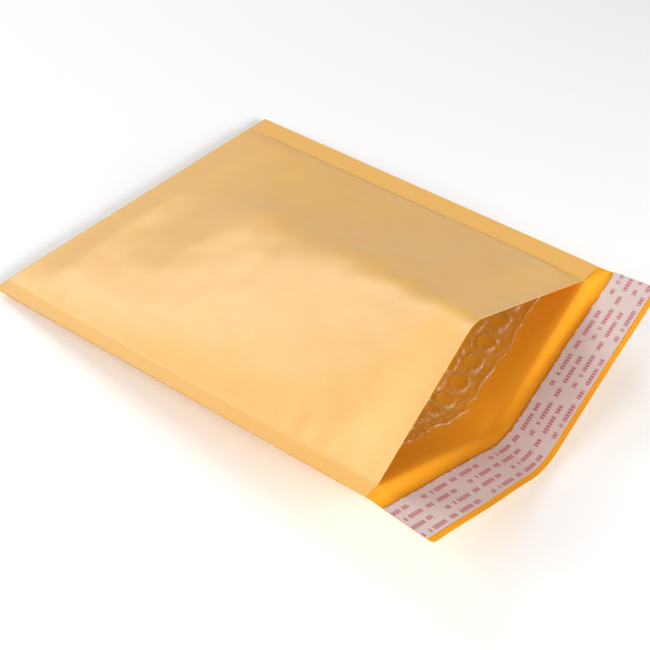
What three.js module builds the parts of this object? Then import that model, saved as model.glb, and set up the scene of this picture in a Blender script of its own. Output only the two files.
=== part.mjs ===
// Padded kraft envelope, lying on a table with its mouth propped open.
// One kraft sheet is folded at the closed end and sealed along both sides over
// a bubble-film lining. Its back runs on past the mouth as a self-seal flap,
// which carries a strip of adhesive under a release liner.
// Millimetres. Z is up, the mouth faces -Y, and +X is to the right of it.

import * as THREE from 'three';

// Flat sizes of the envelope.
const WIDTH = 200;
const DEPTH = 230;
const FLAP = 33;
const LEFT_SEAM = 8;
const RIGHT_SEAM = 13.5;

// Lining: how far it stops short of the lip, how thick one side of it is, how
// thin its rim is pressed in the seam, and how far that rim is from the edge.
const LINING_STOPS = 14;
const PADDING = 3;
const FILM_IN_SEAM = 0.4;
const RIM_INSET = 3;

// Sheets. Pieces that touch keep a small gap, and so do the two halves of a fold.
const PAPER = 0.5;
const GAP = 0.3;

// The open mouth: the front panel stands up in a ridge and the back panel hangs
// in a valley, which draws both side seams in a little.
const RIDGE_RISE = 40.3;
const RIDGE_X_AT_LIP = -18;
const RIDGE_X_AT_END = 8;
const RIDGE_ROUNDING = 7;
const VALLEY_DROP = 40;
const VALLEY_ROUNDING = 10;
const DRAWN_IN = 8.5;
const BEND_REACH = 18;

// Past the lip the flap's left half hangs lower and its right half lifts a little.
const FLAP_LEFT_SAG = 0.088;
const FLAP_RIGHT_LIFT = 0.05;
const FLAP_BLEND = 7;

// Adhesive strip and its liner, measured along the flap from the lip.
const LINER_START = 9;
const LINER_WIDTH = 21.3;
const LINER = 0.3;
const ADHESIVE = 0.3;
const ADHESIVE_INSET = 3;

// Panels swell from the seam line up to their padded thickness over this width.
const SWELL = 8;

// The envelope rests on its closed end and on the bottom of the valley.
const REST_TILT = THREE.MathUtils.degToRad(9.25);

// Distances of each face from the middle plane, in the seam and in the panel.
const filmInside = { seam: GAP / 2, panel: GAP / 2 };
const filmOutside = { seam: GAP / 2 + FILM_IN_SEAM, panel: GAP / 2 + PADDING };
const paperInside = { seam: filmOutside.seam + GAP, panel: filmOutside.panel + GAP };
const paperOutside = { seam: paperInside.seam + PAPER, panel: paperInside.panel + PAPER };

// The smaller of two heights, with the crease between them rounded off.
function roundedMin(a, b, rounding) {
  const h = Math.max(rounding - Math.abs(a - b), 0) / rounding;
  return Math.min(a, b) - (h * h * rounding) / 4;
}

// Half the envelope's width at a distance from the closed end.
function halfWidth(along) {
  return WIDTH / 2 - DRAWN_IN * Math.min(along / DEPTH, 1);
}

// How much of the padding is under the paper: none in the seam, none at the lip.
function fullness(x, along) {
  const half = halfWidth(along);
  const fromSeam = Math.min(half - LEFT_SEAM + x, half - RIGHT_SEAM - x);
  const fromLip = DEPTH - 2 - along;
  const side = THREE.MathUtils.smoothstep(fromSeam, 0, SWELL);
  return side * THREE.MathUtils.smoothstep(fromLip, 0, LINING_STOPS - 4);
}

function ridgeX(along) {
  return THREE.MathUtils.lerp(RIDGE_X_AT_END, RIDGE_X_AT_LIP, along / DEPTH);
}

// Height of the front panel's ridge surface above the plane of the seams.
function frontRise(x, along) {
  const left = halfWidth(along) - LEFT_SEAM;
  const right = halfWidth(along) - RIGHT_SEAM;
  const ridge = ridgeX(along);
  const peak = RIDGE_RISE * (along / DEPTH);
  const fromLeft = (peak * (left + x)) / (left + ridge);
  const fromRight = (peak * (right - x)) / (right - ridge);
  return Math.max(roundedMin(fromLeft, fromRight, RIDGE_ROUNDING * (along / DEPTH)), 0);
}

// Depth of the back panel under the plane of the seams, and of the flap beyond.
function backDrop(x, along) {
  const reach = Math.min(along / DEPTH, 1);
  const pastLip = Math.max(along - DEPTH, 0);
  const onFlap = THREE.MathUtils.smoothstep(pastLip, 0, FLAP_BLEND);
  const left = halfWidth(along) - LEFT_SEAM * (1 - onFlap);
  const right = halfWidth(along) - RIGHT_SEAM * (1 - onFlap);
  const valley = VALLEY_DROP * reach;
  const fromLeft = (valley * (left + x)) / left + FLAP_LEFT_SAG * pastLip;
  const fromRight = (valley * (right - x)) / right - FLAP_RIGHT_LIFT * pastLip;
  return Math.max(roundedMin(fromLeft, fromRight, VALLEY_ROUNDING * reach), -FLAP_RIGHT_LIFT * pastLip);
}

// Places across the sheet, counted from one side edge to the other.
function columnsAcross(along, creaseX, marks) {
  const half = halfWidth(along);
  const left = marks.map((mark) => mark(half + creaseX, LEFT_SEAM));
  const right = marks.map((mark) => mark(half - creaseX, RIGHT_SEAM)).reverse();
  return [...left.map((place) => place - half), ...right.slice(1).map((place) => half - place)];
}

// Marks between the edge and the crease: seam line, swell, panel and bend.
const panelMarks = [
  () => 0,
  (toCrease, seam) => seam,
  (toCrease, seam) => seam + SWELL / 2,
  (toCrease, seam) => seam + SWELL,
  (toCrease, seam) => (seam + SWELL + toCrease) / 2,
  (toCrease) => toCrease - BEND_REACH,
  (toCrease) => toCrease - BEND_REACH * 0.6,
  (toCrease) => toCrease - BEND_REACH * 0.25,
  (toCrease) => toCrease,
];
const liningMarks = [() => RIM_INSET, ...panelMarks.slice(1)];
const stripMarks = [() => 0, ...panelMarks.slice(5)];
const adhesiveMarks = [() => ADHESIVE_INSET, ...panelMarks.slice(5)];

// Distances from the closed end at which both the paper and its lining bend.
const liningEnd = DEPTH - LINING_STOPS;
const panelRows = [15, 40, 95, 155, liningEnd];

// A closed sheet of columns by rows, with every corner placed by the function.
// Both faces are split along the same diagonal, so sheets that nest keep their gap.
function sheet(columns, rows, place) {
  const corners = [];
  for (let row = 0; row <= rows; row += 1) {
    for (let column = 0; column <= columns; column += 1) {
      corners.push(...place(column, row, false), ...place(column, row, true));
    }
  }
  const at = (column, row, outer) => 2 * (row * (columns + 1) + column) + outer;
  const faces = [];
  const quad = (a, b, c, d) => faces.push(a, b, c, a, c, d);
  for (let row = 0; row < rows; row += 1) {
    for (let column = 0; column < columns; column += 1) {
      const ring = [[column, row], [column + 1, row], [column + 1, row + 1], [column, row + 1]];
      const [a, b, c, d] = ring.map(([i, j]) => at(i, j, 0));
      faces.push(a, c, b, a, d, c);
      quad(...ring.map(([i, j]) => at(i, j, 1)));
    }
    quad(at(0, row, 0), at(0, row, 1), at(0, row + 1, 1), at(0, row + 1, 0));
    quad(at(columns, row, 0), at(columns, row + 1, 0), at(columns, row + 1, 1), at(columns, row, 1));
  }
  for (let column = 0; column < columns; column += 1) {
    quad(at(column, 0, 0), at(column + 1, 0, 0), at(column + 1, 0, 1), at(column, 0, 1));
    quad(at(column, rows, 0), at(column, rows, 1), at(column + 1, rows, 1), at(column + 1, rows, 0));
  }
  const geometry = new THREE.BufferGeometry();
  geometry.setAttribute('position', new THREE.Float32BufferAttribute(corners, 3));
  geometry.setIndex(faces);
  geometry.computeVertexNormals();
  return geometry;
}

// A sheet folded round the closed end: front panel, fold and back panel.
// The fold is a half round, as thick as the sheets at that place across it.
function foldedSheet({ marks, outside, inside, frontRows, backRows }) {
  const frontStops = [...panelRows, ...frontRows].reverse();
  const backStops = [...panelRows, ...backRows];
  const foldSteps = 4;
  const stops = [
    ...frontStops.map((along) => ({ side: 1, along })),
    ...Array.from({ length: foldSteps + 1 }, (_, step) => ({ turn: Math.PI * (0.5 - step / foldSteps) })),
    ...backStops.map((along) => ({ side: -1, along })),
  ];
  const columns = 2 * (marks.length - 1);

  return sheet(columns, stops.length - 1, (column, row, outer) => {
    const stop = stops[row];
    const face = outer ? outside : inside;
    const along = stop.along ?? 0;
    const crease = stop.side === 1 ? ridgeX(along) : 0;
    const x = columnsAcross(along, crease, marks)[column];
    const away = THREE.MathUtils.lerp(face.seam, face.panel, fullness(x, along));
    if (stop.side === undefined) {
      const centre = THREE.MathUtils.lerp(paperOutside.seam, paperOutside.panel, fullness(x, 0));
      return [x, away * Math.cos(stop.turn) - centre, away * Math.sin(stop.turn)];
    }
    const height = stop.side === 1 ? frontRise(x, along) + away : -backDrop(x, along) - away;
    return [x, -along, height];
  });
}

// A strip lying on the inner face of the flap, at a height above that face.
function flapStrip({ marks, start, width, above, thickness }) {
  const columns = 2 * (marks.length - 1);
  return sheet(columns, 1, (column, row, outer) => {
    const along = DEPTH + start + width * (1 - row);
    const x = columnsAcross(along, 0, marks)[column];
    const height = above + (outer ? thickness : 0) - paperInside.seam;
    return [x, -along, height - backDrop(x, along)];
  });
}

// Materials.
const kraft = new THREE.MeshStandardMaterial({ color: 0xe9a24a, roughness: 0.62, metalness: 0 });
const film = new THREE.MeshStandardMaterial({ color: 0xf2d9b4, roughness: 0.25, metalness: 0 });
const glue = new THREE.MeshStandardMaterial({ color: 0xe8dcc0, roughness: 0.4, metalness: 0 });
const siliconePaper = new THREE.MeshStandardMaterial({ color: 0xdccfc9, roughness: 0.45, metalness: 0 });

function piece(name, geometry, material) {
  const mesh = new THREE.Mesh(geometry, material);
  mesh.name = name;
  return mesh;
}

const envelope = new THREE.Group();

// Rows of the flap, with one at each edge of the adhesive and of the liner.
const linerEnd = LINER_START + LINER_WIDTH;
const adhesiveRows = [LINER_START + ADHESIVE_INSET, linerEnd - ADHESIVE_INSET];
const flapRows = [0, FLAP_BLEND, LINER_START, ...adhesiveRows, linerEnd, FLAP].map((past) => DEPTH + past);

// Kraft sheet: front panel, fold at the closed end, back panel and flap.
envelope.add(piece('kraft_sheet', foldedSheet({
  marks: panelMarks,
  outside: paperOutside,
  inside: paperInside,
  frontRows: [DEPTH],
  backRows: flapRows,
}), kraft));

// Bubble-film lining: folded with the sheet, its side edges caught in the seams.
envelope.add(piece('bubble_lining', foldedSheet({
  marks: liningMarks,
  outside: filmOutside,
  inside: filmInside,
  frontRows: [],
  backRows: [],
}), film));

// Adhesive strip on the flap.
envelope.add(piece('adhesive_strip', flapStrip({
  marks: adhesiveMarks,
  start: LINER_START + ADHESIVE_INSET,
  width: LINER_WIDTH - 2 * ADHESIVE_INSET,
  above: GAP,
  thickness: ADHESIVE,
}), glue));

// Release liner over the adhesive.
envelope.add(piece('release_liner', flapStrip({
  marks: stripMarks,
  start: LINER_START,
  width: LINER_WIDTH,
  above: 2 * GAP + ADHESIVE,
  thickness: LINER,
}), siliconePaper));

// At rest it leans back on its closed end, over the middle of its footprint.
envelope.rotation.x = -REST_TILT;
envelope.updateMatrixWorld(true);
const resting = new THREE.Box3().setFromObject(envelope, true);
const middle = resting.getCenter(new THREE.Vector3());
envelope.position.set(-middle.x, -middle.y, -resting.min.z);

export default envelope;
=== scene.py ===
import math

import bpy
import numpy as np
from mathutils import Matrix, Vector


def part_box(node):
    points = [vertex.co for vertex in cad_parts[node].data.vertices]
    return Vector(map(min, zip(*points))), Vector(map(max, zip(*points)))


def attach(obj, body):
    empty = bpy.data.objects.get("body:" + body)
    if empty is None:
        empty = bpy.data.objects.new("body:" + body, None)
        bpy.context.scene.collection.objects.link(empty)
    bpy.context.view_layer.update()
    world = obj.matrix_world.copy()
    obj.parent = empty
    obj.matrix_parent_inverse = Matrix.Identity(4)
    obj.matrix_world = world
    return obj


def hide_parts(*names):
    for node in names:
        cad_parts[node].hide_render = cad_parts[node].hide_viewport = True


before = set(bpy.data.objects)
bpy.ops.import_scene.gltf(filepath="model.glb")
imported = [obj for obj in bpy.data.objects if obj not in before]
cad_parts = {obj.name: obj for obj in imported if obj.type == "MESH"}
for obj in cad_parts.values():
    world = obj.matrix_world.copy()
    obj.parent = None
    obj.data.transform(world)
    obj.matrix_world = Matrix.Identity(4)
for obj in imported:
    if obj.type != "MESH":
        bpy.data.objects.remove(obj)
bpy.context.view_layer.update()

# ---------------------------------------------------------------------------
# Kraft sheet. One web of brown kraft paper makes the whole outside: front panel,
# fold at the closed end, back panel and flap. Heat seals its two sides shut, and
# the mouth is propped open, so the front stands in a ridge and the back hangs.

# Flat sizes and places in millimetres: along runs from the closed end to the mouth,
# across from the left edge, and height is measured from the plane of the side seams.
WIDTH = 200.0
DEPTH = 230.0
FLAP = 33.0
LEFT_SEAM = 8.0
RIGHT_SEAM = 13.5
DRAWN_IN = 8.5
PAPER = 0.22
SEAM_FILM = 0.12
PADDING = 3.1
LINING_STOPS = 14.0

RIDGE_RISE = 41.0
RIDGE_AT_LIP = -18.0
RIDGE_AT_END = 9.0
VALLEY_DROP = 39.6
FLAP_LEFT_SAG = 0.088
FLAP_RIGHT_LIFT = 0.05

# How far in from each seam the padding swells, and how unevenly each paper lies.
LEFT_SWELL_RUN = 20.0
RIGHT_SWELL_RUN = 10.0
END_SWELL_RUN = 24.0
FRONT_RELIEF_SEED = 11
BACK_RELIEF_SEED = 31
BACK_RELIEF_SHARE = 0.35
FLAP_WAVE_SEED = 47

# The envelope leans back on its closed end and on the bottom of its valley.
LEAN = math.radians(9.25)
END_HEIGHT = 3.94
MM = 0.001
end_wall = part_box("kraft_sheet")[1][1]


def place(across, along, height):
    """Points of the envelope, in metres, in the frame that the CAD stands in."""
    y = -along * math.cos(LEAN) + height * math.sin(LEAN)
    z = along * math.sin(LEAN) + height * math.cos(LEAN)
    return np.stack([across * MM, y * MM + end_wall, (z + END_HEIGHT) * MM], axis=-1)


def ease(value, start, end):
    """0 before start, 1 after end, and smooth between them."""
    t = np.clip((value - start) / (end - start), 0.0, 1.0)
    return t * t * (3.0 - 2.0 * t)


def lower_of(a, b, rounding):
    """The lower of two slopes, with the crease where they meet rounded off."""
    near = np.maximum(rounding - np.abs(a - b), 0.0) / rounding
    return np.minimum(a, b) - near * near * rounding / 4.0


def undulation(across, along, wavelength, seed, stretch=1.0):
    """A gentle uneven surface of about that wavelength, near -1 to 1."""
    rng = np.random.default_rng(seed)
    total = np.zeros(np.broadcast(across, along).shape)
    waves = 26
    for _ in range(waves):
        heading = rng.uniform(0.0, math.tau)
        turns = math.tau / (wavelength * rng.uniform(0.7, 1.6))
        phase = rng.uniform(0.0, math.tau)
        total += np.sin(turns * (across * math.cos(heading) + along * math.sin(heading) * stretch) + phase)
    return total / math.sqrt(waves)


def half_width(along):
    """Half the envelope's width, which the propped-open mouth draws in."""
    return WIDTH / 2.0 - DRAWN_IN * np.clip(along / DEPTH, 0.0, 1.0)


def fullness(across, along, eases_from=DEPTH - 26.0, eases_to=DEPTH - 0.5):
    """How far the padding has swelled: 0 in the seams and past the lining, 1 in the panel."""
    half = half_width(along)
    left = 1.0 - (1.0 - np.clip((half - LEFT_SEAM + across) / LEFT_SWELL_RUN, 0.0, 1.0)) ** 1.6
    right = 1.0 - (1.0 - np.clip((half - RIGHT_SEAM - across) / RIGHT_SWELL_RUN, 0.0, 1.0)) ** 2.2
    side = np.minimum(left, right)
    lip = 1.0 - ease(along, eases_from, eases_to)
    end = 0.3 + 0.7 * ease(along, 0.0, END_SWELL_RUN)
    return side * lip * end


def back_fullness(across, along):
    """The back paper lies straighter, and only reaches its bare thickness on the flap."""
    return fullness(across, along, DEPTH - 42.0, DEPTH + 9.0)


def ridge_height(across, along):
    """Height of the front panel's ridge over the seams."""
    left = half_width(along) - LEFT_SEAM
    right = half_width(along) - RIGHT_SEAM
    ridge = RIDGE_AT_END + (RIDGE_AT_LIP - RIDGE_AT_END) * (along / DEPTH) ** 1.3
    peak = RIDGE_RISE * along / DEPTH * (1.0 - 0.3 * (1.0 - ease(along, 22.0, 82.0)))
    soft = np.minimum(9.0, 1.6 * peak + 0.4) - 2.5 * ease(along, 190.0, DEPTH)
    up_left = peak * (across + left) / (ridge + left)
    up_right = peak * (right - across) / (right - ridge)
    # The padding bulges a little on the ridge, partway along it.
    nose = 1.9 * np.exp(-(((across - 7.0) / 15.0) ** 2) - ((along - 80.0) / 17.0) ** 2)
    return np.maximum(lower_of(up_left, up_right, soft), 0.0) + nose


def valley_depth(across, along):
    """Depth of the back panel and of the flap under the seams."""
    reach = np.clip(along / DEPTH, 0.0, 1.0)
    past = np.maximum(along - DEPTH, 0.0)
    on_flap = ease(past, 0.0, 6.0)
    left = half_width(along) - LEFT_SEAM * (1.0 - on_flap)
    right = half_width(along) - RIGHT_SEAM * (1.0 - on_flap)
    drop = VALLEY_DROP * reach
    from_left = drop * (across + left) / left + FLAP_LEFT_SAG * past
    from_right = drop * (right - across) / right - FLAP_RIGHT_LIFT * past
    hung = lower_of(from_left, from_right, 10.0 * reach + 0.01)
    return np.maximum(hung, -FLAP_RIGHT_LIFT * past)


def puckers(across, along, seed):
    """Small gathers that run in from the heat seals and die out in the panel."""
    half = half_width(along)
    from_left = np.maximum(half - LEFT_SEAM + across, 0.0)
    from_right = np.maximum(half - RIGHT_SEAM - across, 0.0)
    wave = undulation(along * 0.0, along, 13.0, seed)
    other = undulation(along * 0.0, along, 15.0, seed + 1)
    left = wave * np.exp(-from_left / 9.0) * np.minimum(from_left / 2.5, 1.0)
    right = other * np.exp(-from_right / 9.0) * np.minimum(from_right / 2.5, 1.0)
    return 0.22 * (left + right)


def paper_relief(across, along, seed):
    """Slack, puckers and soft creases of the paper over the padding."""
    panel = fullness(across, along)
    broad = 0.55 * undulation(across, along, 62.0, seed, 0.7)
    slack = broad + 0.16 * undulation(across, along, 21.0, seed + 2)
    return (slack * panel + puckers(across, along, seed + 4)) * ease(along, 0.0, 30.0)


def crinkle(across, along):
    """The short crease pressed into the fold of the closed end."""
    run = ease(along, 16.0, 0.0)
    line = across + 23.5 + 0.25 * along
    pinch = np.exp(-((line / 1.6) ** 2)) - 0.7 * np.exp(-(((line - 3.4) / 2.4) ** 2))
    return -0.55 * run * pinch


def spacing(across, along, swelled=fullness):
    """Distance from the seams' middle plane to the middle of either paper."""
    film = SEAM_FILM - 0.1 * ease(along, DEPTH - LINING_STOPS, DEPTH - 4.0)
    return film + PAPER / 2.0 + PADDING * swelled(across, along)


def front_lift(across, along):
    """Height of the front paper over the seams' middle plane."""
    relief = paper_relief(across, along, FRONT_RELIEF_SEED) + crinkle(across, along)
    return ridge_height(across, along) + spacing(across, along) + relief


def back_lift(across, along):
    """Height, below zero, of the back paper and the flap."""
    under = BACK_RELIEF_SHARE * paper_relief(across, along, BACK_RELIEF_SEED)
    inside_edge = ease(half_width(along) - np.abs(across), 0.0, 12.0)
    on_flap = ease(along, DEPTH - 20.0, DEPTH + 10.0)
    flap_wave = 0.35 * undulation(across, along, 55.0, FLAP_WAVE_SEED) * on_flap
    swell = spacing(across, along, back_fullness)
    return flap_wave * inside_edge - valley_depth(across, along) - swell - under


def columns_across(along, seam_steps, swell_steps, panel_steps):
    """Places across the sheet at each distance along it, closer together by the seams."""
    half = half_width(np.asarray(along, dtype=float))
    close_set = 8.0
    left, right = -half + LEFT_SEAM, half - RIGHT_SEAM
    stops = [-half, left, left + close_set, right - close_set, right, half]
    counts = [seam_steps, swell_steps, panel_steps, swell_steps, seam_steps + 2]
    parts = []
    for start, end, count in zip(stops, stops[1:], counts):
        steps = np.linspace(0.0, 1.0, count, endpoint=False)
        parts.append(start[:, None] + (end - start)[:, None] * steps)
    return np.hstack(parts + [half[:, None]])


def grid_normals(points):
    """The outward direction at each point of a grid of points."""
    down = np.gradient(points, axis=0)
    over = np.gradient(points, axis=1)
    normals = np.cross(over, down)
    return normals / np.linalg.norm(normals, axis=-1, keepdims=True)


def mesh_object(name, points, faces, uvs, flat_faces=0):
    """An object of those points and faces. The last flat_faces of them are cut edges."""
    mesh = bpy.data.meshes.new(name)
    mesh.from_pydata(points.tolist(), [], faces.tolist())
    mesh.update()
    corners = np.empty(len(mesh.loops), dtype=np.int32)
    mesh.loops.foreach_get("vertex_index", corners)
    layer = mesh.uv_layers.new(name="flat_sheet")
    layer.data.foreach_set("uv", uvs[corners].astype(np.float32).ravel())
    smooth = np.ones(len(mesh.polygons), dtype=bool)
    if flat_faces:
        smooth[-flat_faces:] = False
    mesh.polygons.foreach_set("use_smooth", smooth)
    obj = bpy.data.objects.new(name, mesh)
    bpy.context.scene.collection.objects.link(obj)
    return obj


def mark_cut_edges(mesh, first_cut_face):
    """Keeps the cut edges of a sheet crisp, so its faces shade up to the edge."""
    cut = {key for face in mesh.polygons[first_cut_face:] for key in face.edge_keys}
    attribute = mesh.attributes.new("sharp_edge", "BOOLEAN", "EDGE")
    attribute.data.foreach_set("value", [edge.key in cut for edge in mesh.edges])


def cell_corners(index):
    """The four corners of each cell in a grid of point numbers, taken in turn."""
    near, far = index[:-1], index[1:]
    return near[:, :-1].ravel(), near[:, 1:].ravel(), far[:, 1:].ravel(), far[:, :-1].ravel()


def facets(a, b, c):
    """Triangles from three lists of point numbers."""
    return np.stack([a, b, c], axis=-1)


def mark_points(obj, name, values):
    """Gives each point of the mesh a number that its material can read."""
    mark = obj.data.attributes.new(name, "FLOAT", "POINT")
    mark.data.foreach_set("value", values)


def thick_sheet(name, middle, flat_uv, thickness):
    """A closed sheet of that thickness round a grid of points, outer face first."""
    rows, columns = middle.shape[:2]
    normals = grid_normals(middle)
    outer = middle + normals * thickness * MM / 2.0
    inner = middle - normals * thickness * MM / 2.0
    points = np.concatenate([outer.reshape(-1, 3), inner.reshape(-1, 3)])
    uvs = np.concatenate([flat_uv.reshape(-1, 2)] * 2)
    index = np.arange(rows * columns).reshape(rows, columns)
    a, b, c, d = cell_corners(index)
    # Both faces are cut along the same diagonals, so that neither comes through the other.
    top = np.concatenate([facets(a, d, c), facets(a, c, b)])
    bottom = top[:, ::-1] + rows * columns
    rim = np.concatenate([index[0, :], index[1:, -1], index[-1, -2::-1], index[-2:0:-1, 0]])
    after = np.roll(rim, -1)
    rim_under, after_under = rim + rows * columns, after + rows * columns
    wall = np.concatenate([facets(rim, after, after_under), facets(rim, after_under, rim_under)])
    faces = np.concatenate([top, bottom, wall])
    obj = mesh_object(name, points, faces, uvs, flat_faces=len(wall))
    mark_cut_edges(obj.data, len(faces) - len(wall))
    mark_points(obj, "inner_face", np.repeat([0.0, 1.0], rows * columns))
    return obj


# The sheet's rows run from the front lip to the closed end, round the fold, and back
# along the underside to the end of the flap.
FOLD_START = 2.0
ROW_STEP = 1.62
panel_rows = np.arange(FOLD_START, DEPTH + 0.01, ROW_STEP)
panel_rows[-1] = DEPTH
flap_run = [np.linspace(1.0, FLAP - 3.0, 23), np.linspace(FLAP - 2.0, FLAP, 4)]
flap_rows = DEPTH + np.concatenate(flap_run)
fold_turns = np.linspace(math.pi / 2.0, -math.pi / 2.0, 11)
across_steps = dict(seam_steps=5, swell_steps=8, panel_steps=104)


def rounded_corners(across, along, radius=1.8):
    """Rounds the flap's two free corners."""
    into = np.clip(along - (DEPTH + FLAP - radius), 0.0, radius)
    trim = radius - np.sqrt(np.maximum(radius**2 - into**2, 0.0))
    return across * (1.0 - trim / half_width(along))


def folded_grid(front_rows, back_rows, turns, steps, front, back, thickness_at_end):
    """Points and flat places of a sheet folded round the closed end."""
    rows = []
    flats = []
    for along in front_rows[::-1]:
        x = columns_across([along], **steps)[0]
        rows.append(place(x, np.full_like(x, along), front(x, along)))
        flats.append(np.stack([x, np.full_like(x, -along)], axis=-1))
    x = columns_across([0.0], **steps)[0]
    start, end = front_rows[0], back_rows[0]
    top, bottom = front(x, start), back(x, end)
    for turn in turns:
        middle, reach = (top + bottom) / 2.0, (top - bottom) / 2.0
        along = start - (start - thickness_at_end) * np.cos(turn)
        rows.append(place(x, along * np.ones_like(x), middle + reach * np.sin(turn)))
        flats.append(np.stack([x, np.full_like(x, -start * 0.9 * math.sin(turn))], axis=-1))
    for along in back_rows:
        x = rounded_corners(columns_across([along], **steps)[0], along)
        rows.append(place(x, np.full_like(x, along), back(x, along)))
        flats.append(np.stack([x, np.full_like(x, along)], axis=-1))
    return np.array(rows), np.array(flats) * MM


kraft_points, kraft_flat = folded_grid(
    panel_rows,
    np.concatenate([panel_rows, flap_rows]),
    fold_turns[1:-1],
    across_steps,
    front_lift,
    back_lift,
    0.15,
)
kraft_sheet = thick_sheet("folded_kraft_sheet", kraft_points, kraft_flat, PAPER)
kraft_across, kraft_along = kraft_flat.reshape(-1, 2).T / MM
seam_edge = half_width(np.abs(kraft_along))
from_seam = np.minimum(seam_edge - LEFT_SEAM + kraft_across, seam_edge - RIGHT_SEAM - kraft_across)
pressed = ease(-from_seam, -0.6, 0.6) * ease(DEPTH + 1.0 - kraft_along, 0.0, 1.0)
mark_points(kraft_sheet, "pressed", np.tile(pressed, 2))


def shader_group(name, inputs, outputs):
    """An empty node group with those named sockets, and its two end nodes."""
    group = bpy.data.node_groups.new(name, "ShaderNodeTree")
    for label, value in inputs.items():
        kind = "NodeSocketColor" if isinstance(value, tuple) else "NodeSocketFloat"
        group.interface.new_socket(label, in_out="INPUT", socket_type=kind).default_value = value
    for label, kind in outputs.items():
        group.interface.new_socket(label, in_out="OUTPUT", socket_type=kind)
    return group, group.nodes.new("NodeGroupInput"), group.nodes.new("NodeGroupOutput")


def math_node(tree, operation, a, b=0.5, clamp=False):
    """A Math node, whose inputs are sockets or numbers."""
    node = tree.nodes.new("ShaderNodeMath")
    node.operation = operation
    node.use_clamp = clamp
    for socket, value in zip(node.inputs, (a, b)):
        if isinstance(value, (int, float)):
            socket.default_value = value
        else:
            tree.links.new(value, socket)
    return node.outputs[0]


def total(tree, a, b):
    return math_node(tree, "ADD", a, b)


def product(tree, a, b):
    return math_node(tree, "MULTIPLY", a, b)


def flat_place(tree):
    """Where each point lay on the flat sheet, in metres."""
    node = tree.nodes.new("ShaderNodeUVMap")
    node.uv_map = "flat_sheet"
    return node.outputs["UV"]


def point_mark(tree, name):
    """A number that the mesh carries at its points."""
    node = tree.nodes.new("ShaderNodeAttribute")
    node.attribute_name = name
    return node.outputs["Fac"]


def grain(tree, where, across_mm, along_mm, detail, roughness):
    """Noise on the flat sheet, with that many turns to the millimetre each way."""
    scaled = tree.nodes.new("ShaderNodeMapping")
    scaled.inputs["Scale"].default_value = (across_mm / MM, along_mm / MM, 1.0)
    tree.links.new(where, scaled.inputs["Vector"])
    node = tree.nodes.new("ShaderNodeTexNoise")
    node.inputs["Scale"].default_value = 1.0
    node.inputs["Detail"].default_value = detail
    node.inputs["Roughness"].default_value = roughness
    tree.links.new(scaled.outputs["Vector"], node.inputs["Vector"])
    return node.outputs["Fac"]


def remap(tree, value, low, high, out_low=0.0, out_high=1.0):
    """Takes low to high smoothly over to out_low to out_high, and holds outside them."""
    node = tree.nodes.new("ShaderNodeMapRange")
    node.interpolation_type = "SMOOTHSTEP"
    tree.links.new(value, node.inputs["Value"])
    limits = {"From Min": low, "From Max": high, "To Min": out_low, "To Max": out_high}
    for label, number in limits.items():
        node.inputs[label].default_value = number
    return node.outputs["Result"]


def mixed_colour(tree, amount, a, b):
    """Colour a where the amount is 0 and colour b where it is 1."""
    node = tree.nodes.new("ShaderNodeMix")
    node.data_type = "RGBA"
    # The Mix node repeats its socket names, so its colour sockets go by number.
    for number, value in ((0, amount), (6, a), (7, b)):
        if isinstance(value, (float, tuple)):
            node.inputs[number].default_value = value
        else:
            tree.links.new(value, node.inputs[number])
    return node.outputs[2]


# Paper formation: the cloudiness, long fibres, ribs and bran specks of wood pulp.
paper_stock, stock_in, stock_out = shader_group(
    "paper_stock",
    {"Cloudiness": 0.5, "Fibre": 0.5, "Specks": 0.5, "Rib": 0.5},
    {"Shade": "NodeSocketFloat", "Speck Mask": "NodeSocketFloat", "Height": "NodeSocketFloat"},
)
flat = flat_place(paper_stock)
cloud = grain(paper_stock, flat, 0.16, 0.1, 4.0, 0.6)
long_fibre = grain(paper_stock, flat, 2.6, 0.42, 3.0, 0.65)
cross_fibre = grain(paper_stock, flat, 0.5, 2.2, 3.0, 0.65)
rib = grain(paper_stock, flat, 1.7, 0.02, 1.0, 0.4)
speck = grain(paper_stock, flat, 1.9, 1.1, 1.0, 0.5)
speck_mask = product(paper_stock, remap(paper_stock, speck, 0.735, 0.8), stock_in.outputs["Specks"])
fibres = math_node(paper_stock, "SUBTRACT", total(paper_stock, long_fibre, cross_fibre), 1.0)
fibre_part = product(paper_stock, fibres, stock_in.outputs["Fibre"])
clouding = math_node(paper_stock, "SUBTRACT", cloud, 0.5)
cloud_part = product(paper_stock, clouding, stock_in.outputs["Cloudiness"])
ribbing = math_node(paper_stock, "SUBTRACT", rib, 0.5)
rib_part = product(paper_stock, ribbing, stock_in.outputs["Rib"])
shade = total(paper_stock, total(paper_stock, fibre_part, cloud_part), rib_part)
paper_stock.links.new(total(paper_stock, shade, 0.5), stock_out.inputs["Shade"])
paper_stock.links.new(speck_mask, stock_out.inputs["Speck Mask"])
height = total(paper_stock, fibre_part, product(paper_stock, rib_part, 0.6))
paper_stock.links.new(height, stock_out.inputs["Height"])


def new_material(name, **constants):
    """A material with one Principled shader, its steady values on its own sockets."""
    material = bpy.data.materials.new(name)
    material.use_nodes = True
    shader = material.node_tree.nodes["Principled BSDF"]
    for label, value in constants.items():
        shader.inputs[label.replace("_", " ")].default_value = value
    return material, material.node_tree, shader


def stock_node(tree, **values):
    """The paper formation, placed in a material with that paper's own values."""
    node = tree.nodes.new("ShaderNodeGroup")
    node.node_tree = paper_stock
    for label, value in values.items():
        node.inputs[label].default_value = value
    return node


def bump(tree, shader, height, distance, strength):
    """Fine relief, by that many metres, in the shader's normal."""
    node = tree.nodes.new("ShaderNodeBump")
    node.inputs["Strength"].default_value = strength
    node.inputs["Distance"].default_value = distance
    tree.links.new(height, node.inputs["Height"])
    tree.links.new(node.outputs["Normal"], shader.inputs["Normal"])


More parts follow.
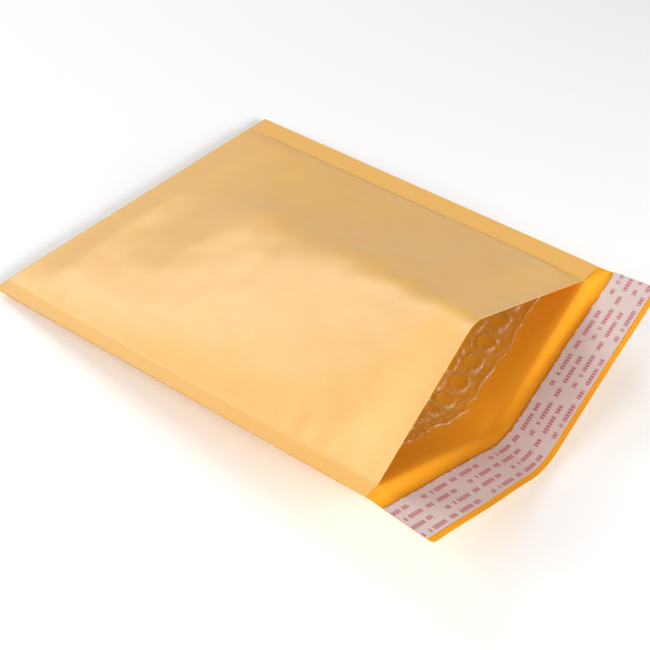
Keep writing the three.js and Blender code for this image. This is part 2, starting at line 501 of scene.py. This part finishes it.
# Kraft: warm ochre. The deeper orange on the inner face is painted bounce light, for light reflected
# between the papers inside the pocket.
KRAFT_LIGHT = (0.99, 0.595, 0.18, 1.0)
KRAFT_DARK = (0.93, 0.49, 0.11, 1.0)
KRAFT_INSIDE_PAINTED_BOUNCE = (0.97, 0.39, 0.012, 1.0)
KRAFT_SEALED = (0.80, 0.42, 0.085, 1.0)
KRAFT_SPECK = (0.45, 0.22, 0.07, 1.0)

kraft, kraft_tree, kraft_shader = new_material(
    "kraft",
    Specular_IOR_Level=0.2,
    Coat_Roughness=0.45,
    Coat_IOR=1.65,
)
stock = stock_node(kraft_tree, Cloudiness=0.5, Fibre=0.55, Specks=0.55, Rib=0.35)
toned = mixed_colour(kraft_tree, stock.outputs["Shade"], KRAFT_DARK, KRAFT_LIGHT)
inner_face = point_mark(kraft_tree, "inner_face")
# Painted bounce light: the inner face is tinted a deeper, redder orange to stand in for light bounced
# round inside the envelope.
painted_inside_bounce = mixed_colour(kraft_tree, 0.95, toned, KRAFT_INSIDE_PAINTED_BOUNCE)
inside = mixed_colour(kraft_tree, inner_face, toned, painted_inside_bounce)
sealed = point_mark(kraft_tree, "pressed")
seamed = mixed_colour(kraft_tree, product(kraft_tree, sealed, 0.25), inside, KRAFT_SEALED)
specked = mixed_colour(kraft_tree, stock.outputs["Speck Mask"], seamed, KRAFT_SPECK)
kraft_tree.links.new(specked, kraft_shader.inputs["Base Color"])

# The calendered outside is smoother than the inside and than the sealed seams, and
# only the outside has a sheen.
glazed = remap(kraft_tree, stock.outputs["Shade"], 0.2, 0.8, 0.5, 0.4)
rougher_inside = total(kraft_tree, glazed, product(kraft_tree, inner_face, 0.35))
roughness = total(kraft_tree, rougher_inside, product(kraft_tree, sealed, 0.2))
kraft_tree.links.new(roughness, kraft_shader.inputs["Roughness"])
dulled = product(kraft_tree, sealed, 0.4)
dull = math_node(kraft_tree, "ADD", inner_face, dulled, clamp=True)
sheen = math_node(kraft_tree, "SUBTRACT", 1.0, dull)
kraft_tree.links.new(sheen, kraft_shader.inputs["Coat Weight"])
bump(kraft_tree, kraft_shader, stock.outputs["Height"], 0.00012, 0.35)
kraft_sheet.data.materials.append(kraft)

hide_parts("kraft_sheet")
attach(kraft_sheet, "root")

# ---------------------------------------------------------------------------
# Bubble lining. Clear polythene film with rows of air bubbles, welded to a flat
# backing film. It is folded with the paper, caught in both side seams, and cut
# off a little short of the lip, through the middle of a row of bubbles.

BUBBLES_ACROSS = 16
LINING_HALF_WIDTH = 97.5
ROWS_PER_PANEL = 20
CUT = DEPTH - LINING_STOPS
BUBBLE_WIDTH = 9.6
BUBBLE_RISE = 2.7
FILM_GAP = 0.03
FILM_PADDING = PADDING - 0.3
FILM_FOLD_INSET = 1.3
PITCH = 2.0 * LINING_HALF_WIDTH / BUBBLES_ACROSS
ROW_PITCH = CUT / ROWS_PER_PANEL
LONG_STEPS = 8
SHORT_STEPS = 4
ROWS_NEAR_MOUTH = 9

# Rings of a bubble, as shares of its width and of its height, from its weld to its top.
fine_rings = ((1.0, 0.0), (0.995, 0.3), (0.965, 0.58), (0.885, 0.82), (0.70, 0.955), (0.38, 1.0))
plain_rings = ((1.0, 0.0), (0.93, 0.66), (0.55, 0.97))


def cell_outline():
    """Corners round one bubble's share of the film, which is a brick of it."""
    x, y = PITCH / 2.0, ROW_PITCH / 2.0
    right = [(x, -y + 2.0 * y * i / SHORT_STEPS) for i in range(SHORT_STEPS)]
    top = [(x - 2.0 * x * i / LONG_STEPS, y) for i in range(LONG_STEPS)]
    left = [(-x, y - 2.0 * y * i / SHORT_STEPS) for i in range(SHORT_STEPS)]
    bottom = [(-x + 2.0 * x * i / LONG_STEPS, -y) for i in range(LONG_STEPS)]
    return np.array(right + top + left + bottom)


def band(outer, inner):
    """Triangles between two loops of the same number of corners."""
    after_outer, after_inner = np.roll(outer, -1), np.roll(inner, -1)
    return np.concatenate([facets(outer, after_outer, after_inner), facets(outer, after_inner, inner)])


def bubble_cell(rings):
    """One bubble on its brick of film: corners as x, run, rise, layer, rim; and triangles."""
    outline = cell_outline()
    count = len(outline)
    heading = np.arctan2(outline[:, 1], outline[:, 0])
    corners = [np.column_stack([outline, np.zeros(count), np.ones(count), np.zeros(count)])]
    for share, lift in rings:
        radius = share * BUBBLE_WIDTH / 2.0
        loop = np.column_stack([radius * np.cos(heading), radius * np.sin(heading)])
        rim = max(0.0, (share - 0.86) / 0.14)
        heights = np.full(count, lift)
        corners.append(np.column_stack([loop, heights, np.ones(count), np.full(count, rim)]))
    corners.append([[0.0, 0.0, 1.0, 1.0, 0.0]])
    corners.append(np.column_stack([outline, np.zeros((count, 3))]))
    corners.append([[0.0, 0.0, 0.0, 0.0, 0.0]])
    numbers = np.arange(count)
    faces = [band(numbers + i * count, numbers + (i + 1) * count) for i in range(len(rings))]
    last, peak = numbers + len(rings) * count, (len(rings) + 1) * count
    faces.append(facets(last, np.roll(last, -1), np.full(count, peak)))
    under, middle = numbers + peak + 1, peak + 1 + count
    faces.append(facets(np.roll(under, -1), under, np.full(count, middle)))
    return np.concatenate(corners), np.concatenate(faces)


def flat_patch(xs, runs):
    """A patch of both films on a grid of places, with no whole bubble in it."""
    across, along = np.meshgrid(xs, runs)
    rows, columns = across.shape
    both = []
    for layer in (1.0, 0.0):
        zeros = np.zeros(across.size)
        both.append(np.column_stack([across.ravel(), along.ravel(), zeros, zeros + layer, zeros]))
    index = np.arange(rows * columns).reshape(rows, columns)
    a, b, c, d = cell_corners(index)
    top = np.concatenate([facets(a, b, c), facets(a, c, d)])
    return np.concatenate(both), np.concatenate([top, top[:, ::-1] + rows * columns])


# The rows lie like bricks. Every second row begins and ends with half a brick.
LEAST_AIR = 0.6
film_parts = []
bubble_air = np.random.default_rng(5)
for row in range(-ROWS_PER_PANEL + 1, ROWS_PER_PANEL):
    near_mouth = abs(row) > ROWS_PER_PANEL - ROWS_NEAR_MOUTH
    cell, cell_faces = bubble_cell(fine_rings if near_mouth else plain_rings)
    staggered = row % 2
    for column in range(BUBBLES_ACROSS - staggered):
        x = (column + 0.5 + 0.5 * staggered) * PITCH - LINING_HALF_WIDTH
        filled = bubble_air.uniform(LEAST_AIR, 1.0) * BUBBLE_RISE
        placed = cell * (1.0, 1.0, filled, 1.0, 1.0) + (x, row * ROW_PITCH, 0.0, 0.0, 0.0)
        film_parts.append((placed, cell_faces))
    if staggered:
        short = (row + np.linspace(-0.5, 0.5, SHORT_STEPS + 1)) * ROW_PITCH
        half_brick = np.linspace(0.0, PITCH / 2.0, LONG_STEPS // 2 + 1)
        film_parts.append(flat_patch(half_brick - LINING_HALF_WIDTH, short))
        film_parts.append(flat_patch(half_brick + LINING_HALF_WIDTH - PITCH / 2.0, short))
whole_width = np.linspace(-LINING_HALF_WIDTH, LINING_HALF_WIDTH, BUBBLES_ACROSS * LONG_STEPS + 1)
cut_rows = np.linspace(CUT - ROW_PITCH / 2.0, CUT, 8)
film_parts.append(flat_patch(whole_width, cut_rows))
film_parts.append(flat_patch(whole_width, -cut_rows[::-1]))

starts = np.cumsum([0] + [len(part) for part, _ in film_parts[:-1]])
corners = np.concatenate([part for part, _ in film_parts])
triangles = np.concatenate([faces + start for (_, faces), start in zip(film_parts, starts)])
_, first, number = np.unique(np.round(corners[:, :4], 3), axis=0, return_index=True, return_inverse=True)
corners, triangles = corners[first], number.ravel()[triangles]

# The two films are joined round the outside of the lining by a narrow wall.
edges = np.concatenate([triangles[:, [0, 1]], triangles[:, [1, 2]], triangles[:, [2, 0]]])
known = set(map(tuple, edges.tolist()))
border = [(a, b) for a, b in known if (b, a) not in known and corners[a, 3] == 1.0]
twin = {(round(c[0], 3), round(c[1], 3)): i for i, c in enumerate(corners) if c[3] == 0.0}
below = {a: twin[(round(corners[a, 0], 3), round(corners[a, 1], 3))] for edge in border for a in edge}
wall = [(b, a, below[a]) for a, b in sorted(border)] + [(b, below[a], below[b]) for a, b in sorted(border)]
triangles = np.concatenate([triangles, wall])


def film_fullness(across, along, swelled):
    """The padding's swelling as the stiffer film follows it, just inside the paper."""
    half = half_width(along)
    from_seam = np.minimum(half - LEFT_SEAM + across, half - RIGHT_SEAM - across)
    return ease(from_seam, -1.0, 7.0) * swelled(across, along)


def film_point(across_flat, run, rise, layer):
    """A place in the lining: run is below 0 on the front panel and above 0 on the back."""
    along = np.abs(run)
    level = run * 0.0
    wander = 1.1 * undulation(across_flat, level, 30.0, 71) + 0.5 * undulation(across_flat, level, 8.0, 72)
    along = along + wander * ease(along, CUT - 9.0, CUT)
    across = across_flat * half_width(along) / (WIDTH / 2.0)
    half = half_width(along)
    from_seam = np.minimum(half - LEFT_SEAM + across, half - RIGHT_SEAM - across)
    room = ease(from_seam, 0.5, 6.0) * ease(along, 0.0, 9.0)
    # Bubbles that the knife went through are slack, and the films curl apart there.
    near_cut = ease(along, CUT - 0.55 * ROW_PITCH, CUT)
    slack = 0.5 + 0.5 * undulation(across_flat, run, 6.5, 74)
    collapsed = near_cut * layer * (0.25 + 1.1 * np.clip(slack, 0.0, 1.2))
    uneven = 0.5 + 0.5 * undulation(across_flat, level, 34.0, 73)
    curl = 0.9 * ease(along, CUT - 12.0, CUT) * uneven
    gap = FILM_GAP + 0.1 * room
    lift = layer * gap + (rise + collapsed + np.maximum(curl, 0.0)) * room
    front_off = FILM_PADDING * film_fullness(across, along, fullness)
    back_off = FILM_PADDING * film_fullness(across, along, back_fullness)
    off = SEAM_FILM - 0.02 + np.where(run >= 0.0, back_off, front_off) - lift
    relief = paper_relief(across, along, FRONT_RELIEF_SEED) * ease(along, 0.0, 6.0) * room
    under = BACK_RELIEF_SHARE * paper_relief(across, along, BACK_RELIEF_SEED) * room
    front = ridge_height(across, along) + off + relief
    behind = -valley_depth(across, along) - off - under
    inset = FILM_FOLD_INSET * (1.0 - ease(along, 0.0, 12.0))
    return place(across, along + inset, np.where(run >= 0.0, behind, front))


film_places = film_point(corners[:, 0], corners[:, 1], corners[:, 2], corners[:, 3])
bubble_film = mesh_object("bubble_film_lining", film_places, triangles, corners[:, :2] * MM)

# The weld shows as a line round each bubble, along the knife cut and just inside it.
inner_edge = CUT - 3.3 + 0.9 * undulation(corners[:, 0], corners[:, 0] * 0.0, 12.0, 78)
from_fold = np.abs(corners[:, 1])
cut_mark = ease(from_fold, CUT - 0.9, CUT)
cut_mark += 0.8 * np.exp(-(((from_fold - inner_edge) / 0.6) ** 2))
mark_points(bubble_film, "weld", np.clip(np.maximum(corners[:, 4], cut_mark), 0.0, 1.0))

# Polythene: clear and glossy. It whitens where it is stretched round each bubble's
# weld and along the knife cut, and the rollers leave fine draw lines in it.
film, film_tree, film_shader = new_material(
    "polythene_film",
    Base_Color=(1.0, 0.92, 0.84, 1.0),
    IOR=1.5,
    Specular_IOR_Level=0.8,
    Coat_Weight=1.0,
    Coat_Roughness=0.04,
)
film_flat = flat_place(film_tree)
draw_lines = grain(film_tree, film_flat, 0.9, 0.1, 3.0, 0.6)
creasing = grain(film_tree, film_flat, 0.35, 0.35, 4.0, 0.65)
edge_on = film_tree.nodes.new("ShaderNodeLayerWeight")
edge_on.inputs["Blend"].default_value = 0.3
steep = math_node(film_tree, "POWER", edge_on.outputs["Facing"], 2.0)
whitening = remap(film_tree, creasing, 0.4, 0.66, 0.02, 0.34)
whitened = product(film_tree, point_mark(film_tree, "weld"), whitening)
veil = total(film_tree, whitened, remap(film_tree, creasing, 0.5, 0.75, 0.0, 0.02))
opacity = math_node(film_tree, "ADD", product(film_tree, steep, 0.04), veil, clamp=True)
film_tree.links.new(opacity, film_shader.inputs["Alpha"])
drawn = remap(film_tree, draw_lines, 0.3, 0.7, 0.06, 0.16)
film_tree.links.new(drawn, film_shader.inputs["Roughness"])
bump(film_tree, film_shader, total(film_tree, draw_lines, creasing), 0.0004, 0.4)
bubble_film.data.materials.append(film)

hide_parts("bubble_lining")
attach(bubble_film, "root")

# ---------------------------------------------------------------------------
# Adhesive strip. A band of hot-melt glue, laid on the flap while soft and covered
# at once, so it is flat and glassy under the liner and rounded at its two edges; here it is a flat band
# with square edges.

LINER_START = 9.0
LINER_WIDTH = 21.3
GLUE_INSET = 3.0
GLUE = 0.22
CLEARANCE = 0.02


def strip_grid(start, width, inset, lift, rows, columns):
    """Points and flat places of a strip that follows the flap's inner face."""
    runs = DEPTH + start + np.linspace(width, 0.0, rows)
    half = half_width(DEPTH) - inset
    x = np.linspace(-half, half, columns)
    across, along = np.meshgrid(x, runs)
    height = back_lift(across, along) + PAPER / 2.0 + lift
    return place(across, along, height), np.stack([across, along], axis=-1) * MM


glue_width = LINER_WIDTH - 2 * GLUE_INSET
glue_lift = GLUE * 0.5 + CLEARANCE
glue_points, glue_flat = strip_grid(LINER_START + GLUE_INSET, glue_width, GLUE_INSET, glue_lift, 14, 120)
glue_strip = thick_sheet("hot_melt_strip", glue_points[::-1], glue_flat[::-1], GLUE)
GLUE_THIN = (0.84, 0.76, 0.58, 1.0)
GLUE_THICK = (0.9, 0.85, 0.72, 1.0)
glue, glue_tree, glue_shader = new_material(
    "hot_melt_glue",
    Roughness=0.2,
    IOR=1.48,
    Subsurface_Weight=0.2,
    Subsurface_Radius=(0.002, 0.0015, 0.001),
)
flow = grain(glue_tree, flat_place(glue_tree), 0.08, 0.9, 3.0, 0.5)
glue_tree.links.new(mixed_colour(glue_tree, flow, GLUE_THIN, GLUE_THICK), glue_shader.inputs["Base Color"])
bump(glue_tree, glue_shader, flow, 0.0003, 0.5)
glue_strip.data.materials.append(glue)
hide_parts("adhesive_strip")
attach(glue_strip, "root")

# ---------------------------------------------------------------------------
# Release liner. A ribbon of silicone-coated paper over the glue, printed in red in
# rows that run along it. The print here is plain blocks, which spell nothing.

LINER = 0.14
LINER_LIFT = GLUE + 0.16
liner_points, liner_flat = strip_grid(LINER_START, LINER_WIDTH, 0.0, LINER_LIFT, 24, 150)
release_liner = thick_sheet("release_liner_ribbon", liner_points[::-1], liner_flat[::-1], LINER)

# The print's rows, its blocks and its runs of blocks, in millimetres.
PRINT_PITCH = LINER_WIDTH / 4.35
FIRST_ROW = DEPTH + LINER_START - PRINT_PITCH * 0.62
ROW_SHIFT = 0.47
BLOCK = 1.45
PHRASE = 51.0
LEFT_OUT = 0.2
INK = (0.50, 0.02, 0.10, 1.0)
LINER_DARK = (0.68, 0.54, 0.50, 1.0)
LINER_LIGHT = (0.80, 0.66, 0.62, 1.0)

def between(tree, value, low, high, soft):
    """1 where the value lies between two limits, with a soft printed edge."""
    rising = remap(tree, value, low - soft, low + soft)
    falling = remap(tree, value, high + soft, high - soft)
    return math_node(tree, "MULTIPLY", rising, falling)


def lottery(tree, a, b):
    """A number from 0 to 1 that is fixed for each pair of whole numbers."""
    pair = tree.nodes.new("ShaderNodeCombineXYZ")
    tree.links.new(a, pair.inputs[0])
    tree.links.new(b, pair.inputs[1])
    node = tree.nodes.new("ShaderNodeTexWhiteNoise")
    node.noise_dimensions = "2D"
    tree.links.new(pair.outputs[0], node.inputs["Vector"])
    return node.outputs["Value"]


liner, liner_tree, liner_shader = new_material("release_liner", Specular_IOR_Level=0.45)
places = liner_tree.nodes.new("ShaderNodeSeparateXYZ")
liner_tree.links.new(flat_place(liner_tree), places.inputs[0])
along_print = product(liner_tree, places.outputs["X"], 1000.0)
down_liner = product(liner_tree, places.outputs["Y"], 1000.0)
down_print = math_node(liner_tree, "SUBTRACT", down_liner, FIRST_ROW)
rows_down = math_node(liner_tree, "DIVIDE", down_print, PRINT_PITCH)
row_number = math_node(liner_tree, "FLOOR", rows_down)
in_row = math_node(liner_tree, "SUBTRACT", rows_down, row_number)
shifted = total(liner_tree, along_print, product(liner_tree, row_number, PHRASE * ROW_SHIFT))
in_phrase = math_node(liner_tree, "FLOORED_MODULO", shifted, PHRASE)
in_block = math_node(liner_tree, "FLOORED_MODULO", shifted, BLOCK)

# Each block is two strokes with a paler band of ink between them, and some are left out.
blocks_along = math_node(liner_tree, "FLOOR", math_node(liner_tree, "DIVIDE", in_phrase, BLOCK))
drawn_lot = lottery(liner_tree, blocks_along, blocks_along)
kept_block = math_node(liner_tree, "GREATER_THAN", drawn_lot, LEFT_OUT)
left_stroke = between(liner_tree, in_block, 0.12, 0.46, 0.07)
right_stroke = between(liner_tree, in_block, 0.78, 1.12, 0.07)
pale_band = product(liner_tree, between(liner_tree, in_block, 0.12, 1.12, 0.07), 0.55)
strokes = math_node(liner_tree, "MAXIMUM", total(liner_tree, left_stroke, right_stroke), pale_band)
row_body = between(liner_tree, in_row, 0.3, 0.72, 0.035)
phrase_body = between(liner_tree, in_phrase, 3.0, PHRASE - 6.5, 0.1)
in_both = product(liner_tree, kept_block, phrase_body)
printed = product(liner_tree, product(liner_tree, strokes, row_body), in_both)

liner_stock = stock_node(liner_tree, Cloudiness=0.5, Fibre=0.5, Specks=0.0, Rib=0.2)
liner_shade = liner_stock.outputs["Shade"]
ink_amount = product(liner_tree, printed, remap(liner_tree, liner_shade, 0.25, 0.6, 0.82, 1.0))
bare = mixed_colour(liner_tree, liner_shade, LINER_DARK, LINER_LIGHT)
liner_tree.links.new(mixed_colour(liner_tree, ink_amount, bare, INK), liner_shader.inputs["Base Color"])
liner_roughness = remap(liner_tree, liner_shade, 0.2, 0.8, 0.5, 0.36)
liner_tree.links.new(liner_roughness, liner_shader.inputs["Roughness"])
bump(liner_tree, liner_shader, liner_stock.outputs["Height"], 0.0001, 0.25)
release_liner.data.materials.append(liner)
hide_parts("release_liner")
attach(release_liner, "root")

# ---------------------------------------------------------------------------
# Table, lamps and camera. The envelope lies on a plain white matt table. Soft lamps
# stand on its left, behind it for the sheen, and before its mouth for the lining, and
# the camera looks down at it from the near left.

floor_mesh = bpy.data.meshes.new("floor")
floor_corners = [(-6, -6, 0), (6, -6, 0), (6, 6, 0), (-6, 6, 0)]
floor_mesh.from_pydata(floor_corners, [], [(0, 1, 2, 3)])
floor = bpy.data.objects.new("floor", floor_mesh)
bpy.context.scene.collection.objects.link(floor)
table_white = new_material(
    "pale_table",
    Base_Color=(1.0, 1.0, 1.0, 1.0),
    Roughness=0.9,
    Specular_IOR_Level=0.1,
)[0]
floor_mesh.materials.append(table_white)

world = bpy.data.worlds.new("studio")
bpy.context.scene.world = world
world.use_nodes = True
room_light = world.node_tree.nodes["Background"]
room_light.inputs["Color"].default_value = (1.0, 0.99, 0.97, 1.0)
room_light.inputs["Strength"].default_value = 0.17


def area_light(name, location, target, size, power):
    """A soft rectangular lamp that faces its target."""
    light = bpy.data.lights.new(name, "AREA")
    light.shape = "RECTANGLE"
    light.size, light.size_y = size
    light.energy = power
    lamp = bpy.data.objects.new(name, light)
    lamp.location = location
    lamp.rotation_euler = (Vector(target) - Vector(location)).to_track_quat("-Z", "Y").to_euler()
    bpy.context.scene.collection.objects.link(lamp)


PANEL = (0.0, 0.0, 0.03)
MOUTH = (0.0, -0.05, 0.03)
area_light("left_key", (-0.80, 0.22, 0.85), PANEL, (0.6, 0.6), 5.4)
area_light("back_sheen", (0.2, 1.1, 0.92), PANEL, (0.8, 0.7), 8.2)
area_light("mouth_fill", (-0.15, -1.24, 0.62), MOUTH, (0.7, 0.5), 17.0)
area_light("mouth_glint", (0.75, -1.1, 0.35), MOUTH, (0.25, 0.25), 1.2)

camera_data = bpy.data.cameras.new("camera")
camera_data.lens = 59.44
camera_data.sensor_width = 36.0
camera_data.dof.use_dof = False
camera_data.clip_start = 0.01
camera = bpy.data.objects.new("camera", camera_data)
camera.location = (-0.3013, -0.21528, 0.39653)
camera.rotation_euler = [math.radians(angle) for angle in (42.789, -4.285, -49.829)]
bpy.context.scene.collection.objects.link(camera)
bpy.context.scene.camera = camera

bpy.context.scene.view_settings.view_transform = "Standard"
